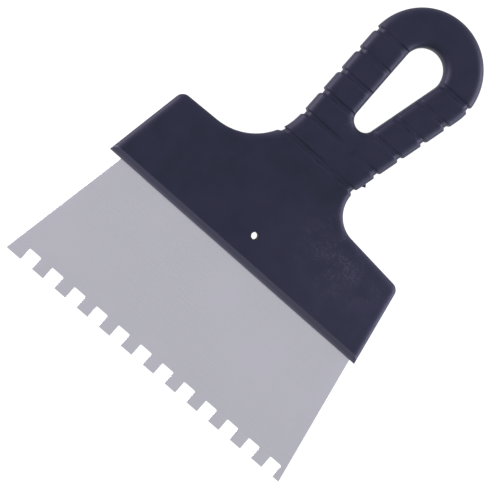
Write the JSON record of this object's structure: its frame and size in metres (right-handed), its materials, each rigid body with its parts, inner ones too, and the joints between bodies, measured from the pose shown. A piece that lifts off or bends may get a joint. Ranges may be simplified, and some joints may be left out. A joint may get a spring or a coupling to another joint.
{
  "type": "notched trowel",
  "caption": "Square-notched trowel: a flat tapered steel blade with a toothed edge, moulded into a wide-headed plastic handle that ends in a grooved grip with a hanging slot.",
  "frame": {"origin": "under the middle of the whole trowel, on the plane of the grip's flat back", "axes": "+X along the toothed edge, +Y from the teeth to the loop of the handle, +Z square to the blade"},
  "size_m": [0.199, 0.2599, 0.013],
  "materials": {
    "blade_steel": "satin rolled stainless sheet",
    "handle_plastic": "fine matt moulding"
  },
  "bodies": {
    "root": {"blade": "blade_steel", "handle": "handle_plastic"}
  },
  "joints": []
}
